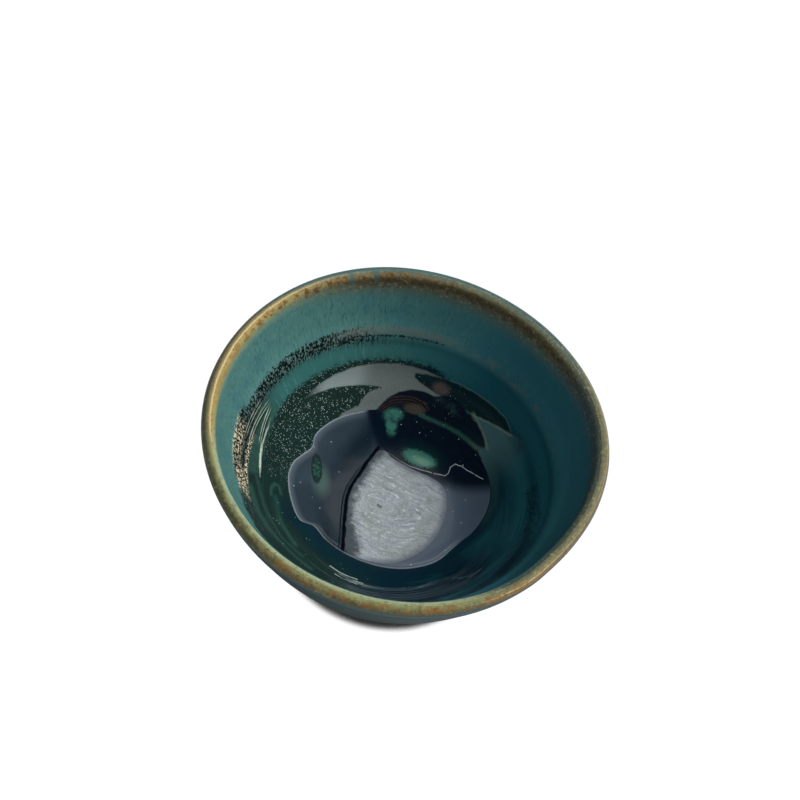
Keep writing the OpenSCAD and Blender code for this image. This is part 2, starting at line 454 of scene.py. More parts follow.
def lens_tree():
    """A thin lens of glaze on the bed below it, with an outline given by direction from the axis."""
    tree, given, output = new_geometry_tree("pooled_glaze", {
        "Object": ["Bed"],
        "Int": ["Turn Steps", "Rings"],
        "Float": ["Depth", "Edge", "Ripple", "Bloom Outline"],
    })
    mesh, turn, along = grid_steps(tree, given["Turn Steps"], given["Rings"] * 2 + 1)
    angle = turn * FULL_TURN

    # The outline, and a share of the way out to it that runs out along the underside and back over the top
    place = direction_of(turn)
    pool_reach = by_direction(place, POOL_REACH, MOST_POOL)
    bloom_reach = by_direction(place, BLOOM_REACH, MOST_BLOOM)
    reach = pool_reach + (bloom_reach - pool_reach) * given["Bloom Outline"]
    share = 1.0 - (along / given["Rings"] - 1.0).absolute() ** RING_CROWDING
    radius = reach * share * MM
    x, y = radius * angle.math("COSINE"), radius * angle.math("SINE")

    # The height of the bed below each point, and the lens's own rise above it
    below = worked_out(tree, "GeometryNodeObjectInfo", {"Object": given["Bed"]}, "Geometry")
    hit = worked_out(tree, "GeometryNodeRaycast", {
        "Target Geometry": below,
        "Source Position": vector_of(x, y, BOWL_TOP * MM),
        "Ray Direction": (0, 0, -1),
        "Ray Length": 1.0,
    }, "Hit Position")
    bed = parts_of(hit)[2]
    inset = ((1.0 - share) * reach / given["Edge"]).least(1.0)
    swell = (1.0 - (1.0 - inset) ** 2.0).root()
    ripple = (noise(vector_of(x, y, 0.0), RIPPLE_SCALE, 1.0) - 0.5) * given["Ripple"] + 1.0
    on_top = along.over(given["Rings"])
    rise = given["Depth"] * (swell * ripple * on_top - (1.0 - on_top) * LENS_SINK) * MM
    close_up(tree, output, mesh, vector_of(x, y, bed + rise), given["Material"])
    return tree


def finish_piece(obj, node, tree, settings):
    """Runs a tree on an object, keeps the plain mesh and lets it stand for its CAD node."""
    modifier = obj.modifiers.new("shape", "NODES")
    modifier.node_group = tree
    sockets = {s.name: s.identifier for s in tree.interface.items_tree if s.in_out == "INPUT"}
    for label, value in settings.items():
        modifier[sockets[label]] = value
    bpy.context.view_layer.update()
    shaped = obj.evaluated_get(bpy.context.evaluated_depsgraph_get())
    mesh = bpy.data.meshes.new_from_object(shaped)
    obj.modifiers.remove(modifier)
    obj.data = mesh
    mesh.name = obj.name
    mesh.set_sharp_from_angle(angle=math.radians(SHARP_TURN))
    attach(obj, "root")
    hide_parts(node)
    return obj


def new_object(name, points, edges):
    mesh = bpy.data.meshes.new(name)
    mesh.from_pydata(points, edges, [])
    obj = bpy.data.objects.new(name, mesh)
    bpy.context.scene.collection.objects.link(obj)
    return obj


def thrown_piece(name, node, spacing, material, ring_relief=0.0, ridge_relief=0.0):
    """A turned piece of the bowl, on the outline of its CAD node."""
    points, outward, weights = profile_of(node, spacing)
    count = len(points)
    obj = new_object(name, [(r, 0, z) for r, z in points], [(i, i + 1) for i in range(count - 1)])
    relief = obj.data.attributes.new("relief", "FLOAT", "POINT")
    relief.data.foreach_set("value", weights.astype(np.float32))
    away = obj.data.attributes.new("outward", "FLOAT_VECTOR", "POINT")
    away.data.foreach_set("vector", np.insert(outward, 1, 0, axis=1).astype(np.float32).ravel())
    return finish_piece(obj, node, THROWN, {
        "Turn Steps": TURN_STEPS,
        "Profile Points": count,
        "Wall Wander": WALL_WANDER,
        "Ring Relief": ring_relief,
        "Ring Depth": RING_DEPTH,
        "Ring Pitch": RING_PITCH,
        "Ridge Relief": ridge_relief,
        "Ridge Pitch": RIDGE_PITCH,
        "Lip Height": LIP_HEIGHT,
        "Material": material,
    })


def pooled_piece(name, node, bed, material, depth, edge, ripple=0.0, bloom_outline=0.0):
    """A lens of glaze on the bed below it."""
    obj = new_object(name, [(0, 0, 0)], [])
    return finish_piece(obj, node, POOLED, {
        "Bed": bed,
        "Turn Steps": TURN_STEPS,
        "Rings": POOL_RINGS,
        "Depth": depth,
        "Edge": edge,
        "Ripple": ripple,
        "Bloom Outline": bloom_outline,
        "Material": material,
    })


# Finishes

def linear(value):
    """A value as it looks on screen, 0 to 255, in linear light, 0 to 1."""
    value /= 255
    return value / 12.92 if value <= 0.04045 else ((value + 0.055) / 1.055) ** 2.4


def shader_colour(colour):
    """What a shader takes for a paint, a wire, or a colour as it looks on screen."""
    if isinstance(colour, Paint):
        return colour.colour
    if isinstance(colour, Wire):
        return colour
    return (*(linear(value) for value in colour), 1.0)


class Paint:
    """A colour with others laid over it in turn."""

    def __init__(self, base):
        self.colour = shader_colour(base)

    def lay(self, mask, colour):
        """Lays a colour over this paint where the mask is 1."""
        inputs = {0: mask, 6: self.colour, 7: shader_colour(colour)}
        self.colour = worked_out(mask.tree, "ShaderNodeMix", inputs, 2, data_type="RGBA")
        return self


def ramp(value, stops, most):
    """Colour along a share of most, through stops of place, red, green and blue."""
    node = add_node(value.tree, "ShaderNodeValToRGB", {0: value})
    marks = [(place / most, shader_colour(colour)) for place, *colour in stops]
    band = node.color_ramp.elements
    band[0].position, band[0].color = marks[0]
    band[1].position, band[1].color = marks[-1]
    for position, colour in marks[1:-1]:
        band.new(position).color = colour
    return Wire(value.tree, node.outputs[0])


# Lines that are drawn from left to right reach this far from the axis, in millimetres
SPAN = 50.0
LEAST_RADIUS = 0.001
# Fray of what is drawn: cells of its noise per millimetre, and the offset between its two directions
DRIFT_SCALE = 0.5
DRIFT_OFFSET = (31, 7, 13)


class Spot:
    """The place on the bowl that is being coloured, in millimetres; drift frays what is drawn on it."""

    def __init__(self, place, drift=0.0):
        self.place = place
        self.x, self.y, self.z = parts_of(place)
        self.radius = (self.x * self.x + self.y * self.y).root().most(LEAST_RADIUS)
        self.cosine = self.x / self.radius
        self.sine = self.y / self.radius
        self.turn = self.y.math("ARCTAN2", self.x) / FULL_TURN + 0.5
        self.depth = LIP_HEIGHT - self.z
        if drift:
            elsewhere = vector_math("ADD", place, DRIFT_OFFSET)
            self.x = self.x + (noise(place, DRIFT_SCALE) - 0.5) * drift
            self.y = self.y + (noise(elsewhere, DRIFT_SCALE) - 0.5) * drift
        self.flat = vector_of(self.x, self.y, 0.0)

    def cloud(self, scale, detail=2.0, rough=0.5):
        """Noise that is alike in all directions."""
        return noise(self.place, scale, detail, rough)

    def runs(self, wide, down, detail=2.0, rough=0.5, distortion=0.0):
        """Noise with its own scale round the bowl and down its wall."""
        place = vector_of(self.cosine * wide, self.sine * wide, self.depth * down)
        return noise(place, 1.0, detail, rough, distortion)

    def facing(self, degrees, half, soft):
        """1 within a half width of a direction, in degrees from +X."""
        turn = math.radians(degrees)
        along = self.cosine * math.cos(turn) + self.sine * math.sin(turn)
        return along.smooth(math.cos(math.radians(half + soft)), math.cos(math.radians(max(half - soft, 0))))

    def past(self, start, end):
        """0 at one direction and 1 at another, in degrees from +X."""
        return self.turn.smooth(start / 360 + 0.5, end / 360 + 0.5)

    def away(self, centre):
        """Distance from a point, as seen from above."""
        return ((self.x - centre[0]) ** 2.0 + (self.y - centre[1]) ** 2.0).root()

    def disc(self, centre, radius, soft=0.2):
        return self.away(centre).smooth(radius + soft, radius - soft)

    def oval(self, centre, tilt, long, short):
        """Distance from an oval's centre, 1 on its outline."""
        cosine, sine = math.cos(math.radians(tilt)), math.sin(math.radians(tilt))
        across, up = self.x - centre[0], self.y - centre[1]
        u = (across * cosine + up * sine) / long
        v = (up * cosine - across * sine) / short
        return (u * u + v * v).root()

    def stroke(self, points):
        """Distance from a line through points."""
        nearest = None
        for (ax, ay), (bx, by) in zip(points, points[1:]):
            way = Vector((bx - ax, by - ay, 0))
            beside = vector_math("SUBTRACT", self.flat, (ax, ay, 0))
            share = vector_math("DOT_PRODUCT", beside, way / way.length_squared).most(0.0).least(1.0)
            gap = vector_math("DISTANCE", beside, vector_of(share * way.x, share * way.y, 0.0))
            nearest = gap if nearest is None else nearest.least(gap)
        return nearest

    def right_of(self, a, b):
        """Distance to the right of a line from a to b, as seen from above."""
        run, rise = b[0] - a[0], b[1] - a[1]
        length = math.hypot(run, rise)
        return (self.x - a[0]) * (rise / length) - (self.y - a[1]) * (run / length)

    def above(self, line):
        """Distance above a line through points that are given from left to right, as seen from above."""
        points = [((x + SPAN) / (2 * SPAN), (y + SPAN) / (2 * SPAN)) for x, y in line]
        return self.y + SPAN - curve((self.x + SPAN) / (2 * SPAN), points) * (2 * SPAN)

    def specks(self, scale, size, share):
        """Scattered round specks: cells per millimetre, radius in cells, and share of cells with one."""
        node = add_node(self.place.tree, "ShaderNodeTexVoronoi", {"Vector": self.place, "Scale": scale})
        chance = parts_of(Wire(self.place.tree, node.outputs["Color"]))[0]
        near = Wire(self.place.tree, node.outputs["Distance"]).smooth(size, size * 0.5)
        return near * chance.smooth(1.0 - share, 1.0 - share + 0.04)

    def in_pool(self):
        """Distance inside the pool's outline along the radius, below 0 outside it."""
        return by_direction(self.turn, POOL_REACH, MOST_POOL) - self.radius


# How brightly each glaze mirrors, and its fine bumps: depth in metres, cells per millimetre and strength
OUTER_SHINE = 0.1
LIP_SHINE = 0.4
INNER_SHINE = 0.25
POOL_SHINE = 0.12
BLOOM_SHINE = 0.2
BUMP_DEPTH = 0.0002
BUMP_SCALE = 0.9
BUMP_STRENGTH = 0.15


def new_finish(name, drift=0.0):
    """A new material, and the spot on the bowl that it colours."""
    material = bpy.data.materials.new(name)
    material.use_nodes = True
    tree = material.node_tree
    place = worked_out(tree, "ShaderNodeTexCoord", {}, "Object")
    place = vector_math("SCALE", place, 1 / MM)
    return material, Spot(place, drift)


def gloss(material, paint, roughness, shine=0.5, bump=None, strength=0.0):
    """Feeds a finish's shader, and gives the finish back."""
    tree = material.node_tree
    shader = tree.nodes["Principled BSDF"]
    feed_all(shader, {"Base Color": paint.colour, "Roughness": roughness, "Specular IOR Level": shine})
    if bump is not None:
        inputs = {"Strength": strength, "Distance": BUMP_DEPTH, "Height": bump}
        feed(shader.inputs["Normal"], worked_out(tree, "ShaderNodeBump", inputs))
    return material


# Middle of the wall: its radius at the lip, its lean there, and how fast it curves in below, per millimetre
LIP_CENTRE = LIP_RADIUS - LIP_ROUND
LIP_LEAN = math.tan(math.radians(17))
WALL_CURVE = 0.006
DEGREES = 180 / math.pi

# Where the brown of the lip starts and ends, by direction: 0 faces outward, 90 is the crest, 180 faces inward
LIP_OUTER = (
    (-180, 10), (-140, 8), (-90, 12), (-40, 18), (0, 30), (60, 62), (110, 84), (145, 70), (165, 22),
    (180, 10),
)
LIP_INNER = (
    (-180, 235), (-168, 185), (-150, 140), (-120, 150), (-60, 150), (-45, 140), (-20, 190),
    (0, 270), (30, 340), (60, 385), (110, 370), (140, 300), (165, 255), (180, 235),
)
MOST_LIP = 400
# The brown is full up to this share of the way from just inside the crest to its inner end
INSIDE_CREST = 95
FULL_BROWN = 0.45

WALL_TEAL = (80, 126, 122)
WALL_PALE = (96, 146, 138)
WALL_DEEP = (38, 84, 84)
WALL_BLUE = (46, 100, 118)
WALL_RIGHT = (46, 112, 128)
WALL_SHADE = (16, 68, 84)

# Colours over the lip on each side of the bowl, by the same degrees; the bright stops along the crest at the
# left, near the outer edge at the right and at the inner edge in front are painted highlights, and the darker
# outer side at the left and inner side at the back and right are partly painted shade
LIP_LEFT = (
    (20, 74, 80, 64), (55, 96, 98, 78), (76, 130, 122, 90), (93, 164, 148, 98),
    (101, 228, 204, 150), (111, 162, 142, 84), (132, 160, 148, 92), (152, 152, 152, 106),
    (180, 132, 152, 124), (215, 106, 142, 130), (255, 80, 122, 118),
)
LIP_BACK = (
    (50, 86, 102, 98), (90, 72, 93, 84), (105, 96, 108, 92), (120, 110, 114, 90),
    (147, 104, 100, 76), (168, 96, 90, 68), (190, 88, 80, 60), (215, 98, 96, 80),
    (250, 92, 105, 92), (340, 84, 108, 104),
)
LIP_RIGHT = (
    (0, 112, 90, 58), (30, 138, 110, 70), (44, 140, 122, 82), (50, 206, 190, 146),
    (57, 132, 124, 90), (75, 110, 110, 82), (90, 90, 92, 68), (104, 62, 70, 52), (120, 74, 82, 74),
    (150, 68, 82, 84), (200, 68, 86, 93), (250, 66, 94, 106),
)
LIP_FRONT = (
    (0, 92, 100, 88), (28, 112, 106, 74), (50, 122, 122, 84), (75, 124, 124, 86),
    (92, 122, 130, 90), (106, 150, 162, 126), (122, 170, 186, 152),
)
RUST = (148, 104, 54)
OLIVE_DEEP = (82, 92, 70)
LIP_DARK = (80, 80, 52)
LIP_SHADE = (86, 76, 60)
LIP_GOLD = (178, 166, 112)
UMBER = (64, 50, 34)
LIP_GREEN = (146, 158, 110)
DRIP = (50, 100, 104)
OUTER_RIM = (76, 102, 100)
OUTER_DEEP = (72, 106, 111)
OUTER_SHADE = (50, 66, 70)
LIP_SHADOW = (10, 26, 24)


def lip_place(at):
    """Place over the lip in degrees, from the outside over the crest and on down the inner wall."""
    below = at.depth.most(0)
    middle = (below * WALL_CURVE + LIP_LEAN) * below
    off = at.radius - rim_stray(at.turn, at.depth) - LIP_CENTRE + middle
    inside = (-off).over(0)
    crest = (-at.depth).most(0).math("ARCTAN2", off) * DEGREES
    return crest + (inside * 2 - 1) * below * (DEGREES / LIP_ROUND)


def lip_band(at, lip):
    """Glaze over the lip: gold with a painted highlight along the crest at the left, green and rust in front,
    brown behind, and painted shade on parts of its sides.
    """
    patch = noise(vector_of(at.cosine * 13, at.sine * 13, lip * 0.018), 1, 3, 0.65)
    fleck = at.cloud(1.1, 4, 0.75)
    blotch = at.cloud(0.5, 3, 0.7)
    front = at.facing(-108, 48, 12)
    place = (lip + (patch - 0.5) * 22 + (fleck - 0.5) * 12) / MOST_LIP

    def side(stops):
        return ramp(place, stops, MOST_LIP)

    band = Paint(side(LIP_LEFT)).lay(at.facing(35, 95, 25), side(LIP_BACK))
    band.lay(at.facing(-14, 48, 14), side(LIP_RIGHT))
    band.lay(at.facing(0, 30, 16) * lip.smooth(80, 45) * 0.6, LIP_SHADE)
    band.lay(front, side(LIP_FRONT))
    # Deeper olive on the outer side at the front left, partly painted shade
    band.lay(at.facing(-142, 24, 10) * lip.smooth(110, 40) * 0.7, OLIVE_DEEP)
    outer = front * lip.smooth(125, 105)
    band.lay(outer * blotch.smooth(0.52, 0.62) * 0.6, LIP_DARK)
    band.lay(outer * blotch.smooth(0.46, 0.34) * 0.45, LIP_GOLD)
    rusty = lip.between(15, 75, 20) * at.facing(-82, 40, 14)
    band.lay(rusty * (patch * 0.5 + fleck * 0.5).smooth(0.46, 0.56) * 0.75, RUST)
    left = lip.between(108, 165, 14) * at.facing(135, 45, 20)
    band.lay(left * blotch.smooth(0.44, 0.58) * 0.7, RUST)
    back = lip.between(108, 190, 20) * at.facing(110, 40, 20)
    band.lay(back * blotch.smooth(0.5, 0.62) * 0.7, UMBER)
    band.lay(lip.between(66, 108, 16) * front * patch.smooth(0.56, 0.42) * 0.6, LIP_GREEN)
    # Dark umber inside below the lip at the back, partly painted shade
    below = lip.between(150, 240, 25) * at.facing(75, 42, 15)
    band.lay(below * blotch.smooth(0.56, 0.44) * 0.6, UMBER)
    band.lay(fleck.smooth(0.54, 0.68) * 0.5, UMBER)
    band.lay(fleck.smooth(0.46, 0.34) * 0.4, LIP_GOLD)
    drips = at.facing(118.5, 0.5, 0.7) + at.facing(110.3, 0.5, 0.7)
    band.lay(drips * lip.smooth(215, 170) * 0.6, DRIP)
    return band.lay(lip.smooth(122, 134) * at.facing(-92, 44, 8), LIP_SHADOW)


def wall_colour(at):
    """Teal glaze with fine runs down the wall, broken to gold and brown in a band over the lip."""
    streak = at.runs(90, 0.45, 3, 0.65)
    cloud = at.runs(4, 0.08)
    grain = at.cloud(2.2, 2, 0.7)
    colour = Paint(WALL_TEAL).lay(streak.smooth(0.5, 0.75) * 0.7, WALL_PALE)
    colour.lay(streak.smooth(0.48, 0.26) * 0.8, WALL_DEEP)
    colour.lay(cloud.smooth(0.5, 0.75) * 0.5, WALL_BLUE)
    # Bluer towards the right, and painted shade over the right side of the wall
    colour.lay(at.cosine.smooth(-0.6, 0.8) * 0.85, WALL_RIGHT)
    colour.lay(at.facing(30, 30, 18) * 0.45, WALL_SHADE)
    colour.lay(grain.smooth(0.58, 0.75) * 0.25, WALL_PALE)
    colour.lay(grain.smooth(0.42, 0.3) * 0.25, WALL_DEEP)

    lip = lip_place(at)
    colour.lay(lip.smooth(100, 60) * 0.8, OUTER_RIM)
    outside = lip.smooth(20, -50)
    colour.lay(outside * 0.6, OUTER_DEEP)
    colour.lay(outside * streak.smooth(0.5, 0.75) * 0.3, WALL_PALE)
    colour.lay(outside * streak.smooth(0.48, 0.26) * 0.4, WALL_DEEP)
    colour.lay(outside * at.facing(-90, 50, 25) * 0.6, OUTER_SHADE)
    outer = by_direction(at.turn, LIP_OUTER, MOST_LIP)
    inner = by_direction(at.turn, LIP_INNER, MOST_LIP)
    ragged = lip + (streak - 0.5) * 30
    full = (inner - INSIDE_CREST) * FULL_BROWN + INSIDE_CREST
    band = ragged.smooth(outer - 14, outer + 14) * ragged.smooth(inner, full)
    return colour.lay(band, lip_band(at, lip)), band


def wall_finish(name, shine):
    """Outside of the bowl and its lip."""
    material, at = new_finish(name)
    colour, band = wall_colour(at)
    matt = lip_place(at).smooth(40, 0)
    roughness = 0.38 - band * 0.08 + matt * 0.15
    return gloss(material, colour, roughness, shine, at.cloud(BUMP_SCALE, 3), BUMP_STRENGTH)


GREEN_BLACK = (25, 45, 41)
NAVY_TEAL = (6, 36, 50)
SWIRL_LEFT = (32, 66, 58)
SWIRL_PALE = (52, 88, 76)
SWIRL_RIGHT = (20, 82, 88)
HAZE = (33, 87, 98)
BAND_TEAL = (52, 101, 98)
BAND_GREEN = (40, 64, 56)
BAND_RIGHT = (28, 88, 102)
BAND_SHADE = (10, 62, 74)
RUN_DARK = (8, 34, 34)
RING_DARK = (8, 16, 16)
RING_BEIGE = (112, 130, 126)
RING_HIGHLIGHT_WHITE = (236, 230, 204)
RING_HIGHLIGHT_GOLD = (206, 178, 110)
BAND_NAVY = (3, 22, 30)
SMEAR = (110, 122, 116)
SMEAR_AND_HIGHLIGHT_RIGHT = (90, 102, 96)
RIDGE_HIGHLIGHT = (200, 212, 194)
SPECK = (205, 222, 212)
REFLECTION_GREY = (104, 114, 112)
REFLECTION_LIGHT = (134, 147, 145)
REFLECTION_TEAL = (52, 86, 84)
WEDGE = (70, 102, 104)
NAVY = (7, 20, 34)
NAVY_GREEN = (16, 46, 52)
MAROON = (92, 64, 66)
BROWN_HAZE = (92, 82, 72)
JADE = (60, 116, 104)
JADE_PALE = (106, 150, 130)
LINE_GREEN = (56, 112, 98)
RIM_GREEN = (102, 124, 114)
NECK_GREEN = (34, 62, 60)
HALO_GREEN = (14, 48, 46)
ARC_DARK = (26, 28, 30)
LEAF_DARK = (14, 36, 42)
LEAF_BROWN = (92, 82, 78)
LEAF_EDGE = (104, 126, 122)
POOL_RIM = (44, 76, 76)
CORNER_GREEN = (118, 138, 100)
FRONT_HIGHLIGHT = (186, 200, 196)
FRONT_HIGHLIGHT_DIM = (78, 110, 112)
# Painted highlight lines on the fine ridges at the left, each with a painted dark line beside it: radius,
# direction and half width in degrees, strength, and slope in millimetres a degree
RIDGE_HIGHLIGHTS = (
    (42.9, 173, 7, 0.6, 0), (42.4, 173, 7, 0.5, 0), (41.6, 172, 9, 0.6, 0), (41.1, 172, 9, 0.6, 0),
    (39.9, 170, 6, 0.8, -0.1), (39.4, 170, 6, 0.6, -0.1),
)
# The brightest painted highlight on those ridges, as a line through points
RIDGE_HIGHLIGHT_END = ((-37.7, 10.2), (-38, 5.9), (-38.2, 1.7), (-37.7, -2.8), (-36.4, -8))
# Swirls, one of them a small loop that is a painted reflection, and the painted highlights in pale streaks in
# front: path, half width and strength
SWIRLS = (
    (((-38.1, -14.3), (-34.3, -21.1), (-29.8, -25.4), (-23.2, -28.3), (-16.9, -30.9)), 1.8, 0.6),
    (((-37.2, -9), (-33, -17), (-26.5, -23.5), (-20, -26.5)), 1.2, 0.4),
    (((-32.5, -10.1), (-32.8, -7.6), (-32.3, -5.6), (-31.1, -5.5), (-30, -7.4)), 0.8, 0.6),
    (((-31, -10), (-28, -17.5), (-22.5, -23)), 1.6, 0.5),
)
RIGHT_RING = ((33.9, -24.8), (39, -14.2), (40.2, -3.5), (39.3, 3.4), (38.2, 6.7))
RIGHT_HAZE = (
    (33.5, 17), (36.3, 9), (37.2, 2), (37.1, -4.9), (35.3, -12.9), (29.7, -23.8), (20.5, -33.8),
)
FRONT_HIGHLIGHTS = (
    (((-11.9, -24.8), (-9.4, -25.9), (-6.6, -26.6), (-3.8, -26.9)), 0.3, 1),
    (((-10, -27.7), (-7.4, -28.7), (-3.5, -29.3)), 0.3, 1),
    (((-9, -26.8), (-6, -27.7), (-2, -28.1)), 0.3, 0.9),
    (((-6.9, -28.4), (0, -28.9), (5, -28.2), (9.6, -26.5)), 0.4, 0.45),
    (((-2, -29.8), (4, -29.4), (11, -27.2), (17, -23.6)), 0.5, 0.3),
    (((13.3, -25.5), (19.2, -21.1), (21.5, -20.6), (23.5, -21.5), (26.2, -21.1), (29, -18.5)), 0.8, 0.6),
)
LEAF_LOW = ((-0.7, 37.3), (4.1, 35.6), (12, 33.3), (17.9, 30.8), (24.6, 27.7), (29.9, 24.2))
# Navy part of the well: the circle that bounds it on the far side, the corner of the notch at its right, and
# the pitch of its maroon arcs
WELL_CENTRE = (-5.8, 7.9)
WELL_RADIUS = 33
NOTCH = (21.3, 21.9)
ARC_PITCH = 0.1
GREEN_LINE = (
    (3.3, 29.9), (7.2, 29.1), (11.1, 28.1), (14.8, 26.7), (18.3, 24.7), (20.9, 22.8), (23.4, 21.6),
)


def dark_well(at):
    """The navy part of the well on the coat, as a mask."""
    zone = at.disc((1.5, 22.3), 12.6).most(at.disc((14, 21.7), 9.5)).most(at.disc((8.5, 24), 10.5))
    notch = at.right_of(NOTCH, (24, 22.5)).smooth(0, 0.4)
    notch = notch * at.right_of((24.6, 17.8), NOTCH).smooth(0, 0.4)
    zone = zone * at.disc(WELL_CENTRE, WELL_RADIUS) * (1 - notch)
    return zone * at.right_of((-7.1, 19.4), (-12, 26.8)).smooth(-0.8, 0.8)


def well_marks(at, fine):
    """Colour of the navy part with its marks: maroon arcs, jade spots and a green line."""
    colour = Paint(NAVY).lay(fine.smooth(0.5, 0.8) * 0.25, NAVY_GREEN)
    fray = (at.cloud(1.9, 3, 0.75) - 0.5) * 1.2
    haze = at.cloud(0.35, 3).smooth(0.4, 0.65)
    neck = at.above(LEAF_LOW).between(-2.4, -0.4, 0.6) * at.x.between(6, 17, 2)
    colour.lay(neck * haze * 0.8, NECK_GREEN)
    from_arcs = at.oval((-1.9, 27.5), 12, 8.6, 5.5) + fray * 0.03
    lines = (from_arcs * (FULL_TURN / ARC_PITCH)).math("COSINE").smooth(0, 1)
    far = at.y.smooth(27.6, 29.4) * (at.y - at.x * 0.55).smooth(27.8, 29.2)
    arcs = from_arcs.between(0.7, 1.06, 0.05) * far
    colour.lay(arcs * 0.8, ARC_DARK)
    colour.lay(arcs * lines * fine.smooth(0.3, 0.6) * 0.6, MAROON)
    fill = (at.oval((1.2, 30.9), 0, 3.4, 1.2) + fray * 0.6).smooth(1.2, 0.6)
    colour.lay(fill * 0.55, BROWN_HAZE)
    first = at.oval((-4.4, 28.4), 15, 3, 1.8).least(at.oval((-4.2, 25.8), -75, 3, 1.7))
    first = (first + fray * 0.8).smooth(1.25, 0.55)
    second = (at.oval((5.8, 17.9), -10, 5.3, 2.5) + fray * 0.9).smooth(1.15, 0.7)
    pale = at.oval((7, 17.2), -12, 4, 1.6).smooth(1.2, 0.2)
    halo = at.oval((6.5, 18.8), -12, 8, 4.6).smooth(1.15, 0.4)
    colour.lay(halo * 0.5, HALO_GREEN)
    colour.lay(first * at.cloud(0.5).smooth(0.2, 0.55) * 0.9, JADE)
    colour.lay(second * 0.9, Paint(JADE).lay(pale, JADE_PALE))
    line = (at.stroke(GREEN_LINE) + fray * 0.5).smooth(0.9, 0)
    colour.lay(line * 0.5, Paint(LINE_GREEN).lay(at.x.smooth(17, 23), RIM_GREEN))
    colour.lay(at.specks(1.6, 0.24, 0.16) * at.disc((8, 30), 5, 3) * 0.5, SPECK)
    return colour.lay(at.specks(0.8, 0.14, 0.05) * 0.6, SPECK)


def rings_and_runs(colour, at, grain, from_upper):
    """The speckled throwing rings with painted highlights among their specks, the dark runs, and painted
    highlight lines on the ridges between them.
    """
    speckle = at.runs(92, 1.25, 2, 0.6)

    def part(low, high, soft, *direction):
        """Part of the upper ring, from low to high down the wall and within a half width of a direction."""
        return from_upper.between(low, high, soft) * at.facing(*direction)

    def dark_specks(zone, most, least, soft, end):
        """Specks that run together where the zone is 1."""
        return (zone * most + least - speckle).smooth(soft, end)

    hang = part(0.6, 4.2, 1.2, 138, 40, 12)
    colour.lay(at.runs(75, 0.15, 2, 0.6).smooth(0.5, 0.6) * hang * 0.75, RUN_DARK)
    patch = part(-3.4, 4.2, 0.8, -171, 15, 4)
    band = part(-2, 3.2, 1.2, 152, 42, 10).most(patch)
    colour.lay(patch * 0.7, RUN_DARK)
    colour.lay(band * at.facing(146, 36, 14) * speckle.smooth(0.5, 0.58) * 0.5, RING_BEIGE)
    colour.lay(dark_specks(band, 0.27, 0.27, -0.02, 0.02), RING_DARK)
    # Painted highlights among the specks, at the edges of the ring's patch at the left
    edges = part(-4, -2.8, 0.4, -172, 10, 3).most(part(3, 4.4, 0.5, -170, 11, 4))
    edges = edges.most(part(-2.6, 3.6, 0.8, -158, 5, 3)).most(part(-3, 1, 1.5, -173, 6, 5) * 0.8)
    glint = Paint(RING_HIGHLIGHT_WHITE).lay(grain.smooth(0.5, 0.6), RING_HIGHLIGHT_GOLD)
    colour.lay(edges * speckle.smooth(0.5, 0.56), glint)

    broken = at.runs(14, 0.4, 3).smooth(0.42, 0.62)
    colour.lay(part(-1.9, 0.5, 0.7, 102, 20, 9) * grain.smooth(0.34, 0.5) * 0.7, SMEAR)
    colour.lay(part(-1.2, 0.8, 0.8, 70, 14, 8) * broken * 0.4, SMEAR)
    under = part(0.5, 1.3, 0.5, 104, 20, 7)
    colour.lay(dark_specks(under, 0.3, 0.27, -0.05, 0.02) * 0.9, RING_DARK)
    # Pale smear on the upper ring at the right, partly a painted highlight on its ridge
    colour.lay(part(-1, 1.4, 0.9, 42, 22, 10) * broken * 0.5, SMEAR_AND_HIGHLIGHT_RIGHT)

    # Painted highlight lines along the ridges, each with a painted dark line beside it
    gleam = at.runs(9, 0.6).smooth(0.3, 0.6)
    for radius, degrees, half, strength, slope in RIDGE_HIGHLIGHTS:
        off = at.radius - radius - (at.turn - degrees / 360 - 0.5) * (slope * 360)
        reach = at.facing(degrees, half, 3)
        colour.lay((off + 0.3).absolute().smooth(0.2, 0.05) * reach * 0.7, RING_DARK)
        colour.lay(off.absolute().smooth(0.16, 0.03) * reach * gleam * strength, RIDGE_HIGHLIGHT)
    end = at.stroke(RIDGE_HIGHLIGHT_END)
    colour.lay(end.smooth(0.3, 0) * gleam * 0.7, RIDGE_HIGHLIGHT)
    colour.lay(end.smooth(0.5, 0.1) * at.y.between(-6, 1.5, 1.2) * grain.smooth(0.36, 0.5), RIDGE_HIGHLIGHT)
    right = at.stroke(RIGHT_RING).smooth(2.6, 0.8)
    colour.lay(dark_specks(right, 0.27, 0.26, -0.05, 0.04) * 0.6, BAND_NAVY)


